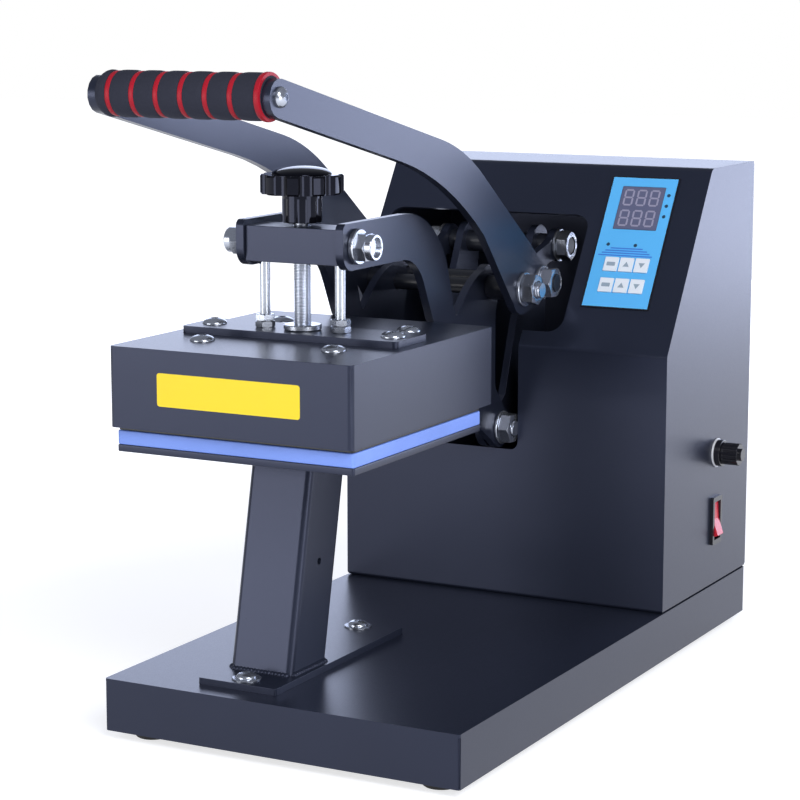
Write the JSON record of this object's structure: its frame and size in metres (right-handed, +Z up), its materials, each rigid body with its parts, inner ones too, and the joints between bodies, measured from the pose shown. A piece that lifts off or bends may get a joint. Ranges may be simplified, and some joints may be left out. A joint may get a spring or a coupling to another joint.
{
  "type": "cap heat press",
  "caption": "Lever heat press with a heated square head over a padded platen on a post, in front of a control housing.",
  "frame": {"origin": "on the floor, under the centre of the base tray", "axes": "+X to the right as seen from the front, on the panel's side; +Y towards the back; +Z up"},
  "size_m": [0.24, 0.4676, 0.3737],
  "materials": {
    "charcoal_paint": "satin",
    "zinc_steel": "satin",
    "rubber": "matte",
    "silicone": "satin",
    "black_plastic": "satin",
    "blue_panel": "gloss",
    "window": "gloss",
    "white_keys": "satin",
    "red_plastic": "gloss",
    "glass": "clear",
    "foam": "matte",
    "red_rings": "satin",
    "cast_aluminium": "satin",
    "mat": "matte"
  },
  "bodies": {
    "frame": {"base_tray": "charcoal_paint", "rubber_feet": "rubber", "post_foot_plate": "charcoal_paint", "post_tube": "charcoal_paint", "tray_bolts": "zinc_steel", "tray_nuts": "zinc_steel", "lower_platen": "charcoal_paint", "silicone_pad": "silicone", "housing_shell": "charcoal_paint", "rear_cover": "charcoal_paint", "case_screws": "zinc_steel", "upright_left": "charcoal_paint", "upright_right": "charcoal_paint", "lower_shaft": "zinc_steel", "rear_shaft": "zinc_steel", "shaft_nuts": "zinc_steel", "controller_case": "black_plastic", "panel_face": "blue_panel", "display_window": "window", "switch_bezel": "black_plastic", "fuse_holder": "black_plastic", "power_inlet": "black_plastic"},
    "clamp_yoke": {"yoke_left": "charcoal_paint", "yoke_right": "charcoal_paint", "beam": "charcoal_paint", "beam_bolts": "zinc_steel"},
    "lever": {"arm_left": "charcoal_paint", "arm_right": "charcoal_paint", "handle_shaft": "zinc_steel", "handle_bushes": "zinc_steel", "crank_pins": "zinc_steel", "handle_nuts": "zinc_steel", "grip_rod": "zinc_steel", "foam_grip": "foam", "grip_rings": "red_rings", "grip_cap": "black_plastic"},
    "toggle_links": {"link_left": "charcoal_paint", "link_right": "charcoal_paint", "crank_shaft": "zinc_steel"},
    "press_head": {"heater_casing": "charcoal_paint", "heating_plate": "cast_aluminium", "insulation": "mat", "plate_spacers": "zinc_steel", "casing_screws": "zinc_steel", "top_plate": "charcoal_paint", "guide_rods": "zinc_steel", "guide_nuts": "zinc_steel", "head_gland": "black_plastic"},
    "screw_and_knob": {"pressure_screw": "zinc_steel", "screw_collars": "zinc_steel", "knob": "black_plastic"},
    "switch_rocker": {"rocker": "red_plastic"},
    "fuse_carrier": {"fuse_cap": "black_plastic", "fuse": "glass"},
    "panel_key_1": {"key_1": "white_keys"},
    "panel_key_2": {"key_2": "white_keys"},
    "panel_key_3": {"key_3": "white_keys"},
    "panel_key_4": {"key_4": "white_keys"},
    "panel_key_5": {"key_5": "white_keys"},
    "panel_key_6": {"key_6": "white_keys"}
  },
  "joints": [
    {"name": "yoke_open", "type": "hinge", "parent": "frame", "child": "clamp_yoke", "pos_m": [-0.0334, 0.064, 0.143], "axis": [-1, 0, 0], "range_deg": [0, 16]},
    {"name": "handle_lift", "type": "hinge", "parent": "clamp_yoke", "child": "lever", "pos_m": [-0.0334, 0.046, 0.2334], "axis": [-1, 0, 0], "range_deg": [0, 50.53]},
    {"name": "link_swing", "type": "hinge", "parent": "frame", "child": "toggle_links", "pos_m": [-0.0334, 0.1347, 0.2513], "axis": [1, 0, 0], "range_deg": [0, 23.2]},
    {"name": "head_height", "type": "slide", "parent": "clamp_yoke", "child": "press_head", "axis": [0, 0, 1], "range_m": [0, 0.006]},
    {"name": "knob_turn", "type": "hinge", "parent": "press_head", "child": "screw_and_knob", "pos_m": [-0.0334, -0.1215, 0.3], "axis": [0, 0, 1], "range_deg": [0, 1441]},
    {"name": "rocker_tilt", "type": "hinge", "parent": "frame", "child": "switch_rocker", "pos_m": [0.108, 0.152, 0.078], "axis": [0, 1, 0], "range_deg": [0, 22]},
    {"name": "fuse_cap_turn", "type": "hinge", "parent": "frame", "child": "fuse_carrier", "pos_m": [0.118, 0.1528, 0.1217], "axis": [1, 0, 0], "range_deg": [0, 90]},
    {"name": "key_1_press", "type": "slide", "parent": "frame", "child": "panel_key_1", "axis": [0, 0.8425, -0.5388], "range_m": [0, 0.0004], "stiffness_N_per_m": 600},
    {"name": "key_2_press", "type": "slide", "parent": "frame", "child": "panel_key_2", "axis": [0, 0.8425, -0.5388], "range_m": [0, 0.0004], "stiffness_N_per_m": 600},
    {"name": "key_3_press", "type": "slide", "parent": "frame", "child": "panel_key_3", "axis": [0, 0.8425, -0.5388], "range_m": [0, 0.0004], "stiffness_N_per_m": 600},
    {"name": "key_4_press", "type": "slide", "parent": "frame", "child": "panel_key_4", "axis": [0, 0.8425, -0.5388], "range_m": [0, 0.0004], "stiffness_N_per_m": 600},
    {"name": "key_5_press", "type": "slide", "parent": "frame", "child": "panel_key_5", "axis": [0, 0.8425, -0.5388], "range_m": [0, 0.0004], "stiffness_N_per_m": 600},
    {"name": "key_6_press", "type": "slide", "parent": "frame", "child": "panel_key_6", "axis": [0, 0.8425, -0.5388], "range_m": [0, 0.0004], "stiffness_N_per_m": 600}
  ],
  "couplings": [
    {"joint": "handle_lift", "follows": "yoke_open", "ratio": 3.1547},
    {"joint": "link_swing", "follows": "yoke_open", "ratio": 1.4471},
    {"joint": "knob_turn", "follows": "head_height", "rad_per_m": 4188.8}
  ]
}
